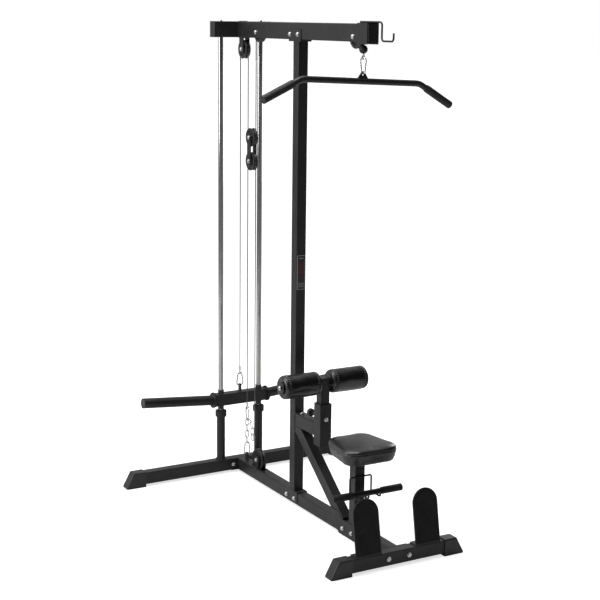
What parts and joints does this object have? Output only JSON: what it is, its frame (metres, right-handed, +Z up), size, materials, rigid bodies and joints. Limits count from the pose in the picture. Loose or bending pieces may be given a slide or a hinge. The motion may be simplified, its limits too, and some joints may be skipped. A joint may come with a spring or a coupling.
{
  "type": "lat pulldown machine",
  "caption": "Plate-loaded lat pulldown and low row machine: steel frame, boom, guided weight carriage, cables over pulleys, thigh rollers, seat and foot plates.",
  "frame": {"origin": "centre of the footprint, on the floor", "axes": "+Z up, -Y the front (foot plates, seat and pull bars), +Y the rear (guide rods and carriage), +X the right seen from the front"},
  "size_m": [1.264, 1.506, 2.2608],
  "materials": {
    "frame_black": "satin black powder coat",
    "chrome": "polished chrome plate",
    "zinc": "bright zinc plated steel",
    "pulley_nylon": "moulded black nylon",
    "cap_plastic": "moulded black plastic",
    "rubber_black": "black rubber",
    "foam_vinyl": "black foam roller with vinyl skin",
    "seat_vinyl": "black grained vinyl, stitched",
    "grip_tape": "gritty black grip tape",
    "cable_grey": "grey nylon coated steel cable",
    "bush_white": "black nylon bush",
    "bush_steel": "turned steel bush"
  },
  "bodies": {
    "frame": {"rear_rail": "frame_black", "front_rail": "frame_black", "rear_base_tube": "frame_black", "front_base_tube": "frame_black", "base_end_caps": "cap_plastic", "upright_post": "frame_black", "post_saddles": "frame_black", "boom": "frame_black", "top_cross_tube": "frame_black", "tube_plugs": "cap_plastic", "guide_rods": "chrome", "stop_posts": "frame_black", "stop_bumpers": "rubber_black", "frame_bushes": "bush_steel", "hanging_bracket": "frame_black", "low_brackets": "frame_black", "anchor_carabiner_lower": "zinc", "anchor_chain": "zinc", "anchor_carabiner_upper": "zinc", "lat_cable": "cable_grey", "row_cable": "cable_grey", "roller_bracket": "frame_black", "strut": "frame_black", "seat_post": "frame_black", "seat_board": "frame_black", "seat_pad": "seat_vinyl", "bar_hook": "frame_black", "row_bar_holder": "frame_black", "foot_plates": "frame_black", "foot_grips": "grip_tape", "frame_bolts": "zinc", "rod_bolts": "zinc", "pulley_bolts": "zinc"},
    "carriage": {"carriage_frame": "frame_black", "carriage_bushes": "bush_white", "horn_caps": "cap_plastic", "carriage_carabiner": "zinc"},
    "lat_end": {"lat_ball_stop": "rubber_black", "lat_carabiner": "zinc"},
    "lat_bar": {"lat_bar": "frame_black", "lat_bar_grips": "rubber_black"},
    "row_end": {"row_ball_stop": "rubber_black", "row_carabiner": "zinc", "row_bar": "frame_black", "row_bar_grips": "rubber_black"},
    "block": {"block_straps": "frame_black", "block_bushes": "bush_steel", "block_bolts": "zinc"},
    "roller_post": {"roller_post": "frame_black", "roller_end_caps": "cap_plastic"},
    "roller_left": {"roller_pad_left": "foam_vinyl"},
    "roller_right": {"roller_pad_right": "foam_vinyl"},
    "pop_pin": {"pop_pin": "cap_plastic"},
    "front_boom_pulley": {"front_boom_pulley": "pulley_nylon"},
    "rear_boom_pulley": {"rear_boom_pulley": "pulley_nylon"},
    "hanging_pulley": {"hanging_pulley": "pulley_nylon"},
    "low_rear_pulley": {"low_rear_pulley": "pulley_nylon"},
    "low_front_pulley": {"low_front_pulley": "pulley_nylon"},
    "block_upper_pulley": {"block_upper_pulley": "pulley_nylon"},
    "block_lower_pulley": {"block_lower_pulley": "pulley_nylon"}
  },
  "joints": [
    {"name": "carriage_slide", "type": "slide", "parent": "frame", "child": "carriage", "axis": [0, 0, 1], "range_m": [0, 1.2], "deforming": ["lat_cable"]},
    {"name": "lat_pull", "type": "slide", "parent": "frame", "child": "lat_end", "axis": [0, 0, 1], "range_m": [-1.2, 0]},
    {"name": "lat_bar_tilt", "type": "hinge", "parent": "lat_end", "child": "lat_bar", "pos_m": [0, -0.38, 2.044], "axis": [-0.1564, 0.9877, 0], "range_deg": [-15, 15]},
    {"name": "row_pull", "type": "slide", "parent": "frame", "child": "row_end", "axis": [0, -0.7071, 0.7071], "range_m": [0, 0.6], "stiffness_N_per_m": 20, "springref_m": -2, "deforming": ["row_cable"]},
    {"name": "block_slide", "type": "slide", "parent": "frame", "child": "block", "axis": [0, 0, 1], "range_m": [-0.3, 0]},
    {"name": "roller_height", "type": "slide", "parent": "frame", "child": "roller_post", "axis": [0, 0, 1], "range_m": [-0.03, 0.1]},
    {"name": "roller_left_spin", "type": "hinge", "parent": "roller_post", "child": "roller_left", "pos_m": [-0.12, -0.096, 0.653], "axis": [1, 0, 0], "continuous": true},
    {"name": "roller_right_spin", "type": "hinge", "parent": "roller_post", "child": "roller_right", "pos_m": [0.12, -0.096, 0.653], "axis": [1, 0, 0], "continuous": true},
    {"name": "pop_pin_pull", "type": "slide", "parent": "frame", "child": "pop_pin", "axis": [0, 1, 0], "range_m": [0, 0.012], "stiffness_N_per_m": 600, "springref_m": -0.01},
    {"name": "front_boom_pulley_spin", "type": "hinge", "parent": "frame", "child": "front_boom_pulley", "pos_m": [0, -0.335, 2.196], "axis": [1, 0, 0], "range_deg": [0, 1528.4]},
    {"name": "rear_boom_pulley_spin", "type": "hinge", "parent": "frame", "child": "rear_boom_pulley", "pos_m": [0, 0.521, 2.201], "axis": [1, 0, 0], "range_deg": [0, 1719.4]},
    {"name": "block_upper_pulley_spin", "type": "hinge", "parent": "block", "child": "block_upper_pulley", "pos_m": [0, 0.601, 1.704], "axis": [1, 0, 0], "range_deg": [-1719.4, 0]},
    {"name": "hanging_pulley_spin", "type": "hinge", "parent": "frame", "child": "hanging_pulley", "pos_m": [0, 0.681, 2.12], "axis": [1, 0, 0], "range_deg": [0, 1719.4]},
    {"name": "low_front_pulley_spin", "type": "hinge", "parent": "frame", "child": "low_front_pulley", "pos_m": [0, -0.455, 0.087], "axis": [1, 0, 0], "range_deg": [-1375.6, 0]},
    {"name": "low_rear_pulley_spin", "type": "hinge", "parent": "frame", "child": "low_rear_pulley", "pos_m": [0, 0.511, 0.112], "axis": [1, 0, 0], "range_deg": [-688, 0]},
    {"name": "block_lower_pulley_spin", "type": "hinge", "parent": "block", "child": "block_lower_pulley", "pos_m": [0, 0.601, 1.59], "axis": [1, 0, 0], "range_deg": [0, 430.2]}
  ],
  "couplings": [
    {"joint": "front_boom_pulley_spin", "follows": "carriage_slide", "rad_per_m": 22.222},
    {"joint": "rear_boom_pulley_spin", "follows": "carriage_slide", "rad_per_m": 25},
    {"joint": "block_upper_pulley_spin", "follows": "carriage_slide", "rad_per_m": -25},
    {"joint": "hanging_pulley_spin", "follows": "carriage_slide", "rad_per_m": 25},
    {"joint": "low_front_pulley_spin", "follows": "row_pull", "rad_per_m": -40},
    {"joint": "low_rear_pulley_spin", "follows": "row_pull", "rad_per_m": -20},
    {"joint": "block_lower_pulley_spin", "follows": "row_pull", "rad_per_m": 12.5},
    {"joint": "lat_pull", "follows": "carriage_slide", "ratio": -1},
    {"joint": "block_slide", "follows": "row_pull", "ratio": -0.5}
  ]
}
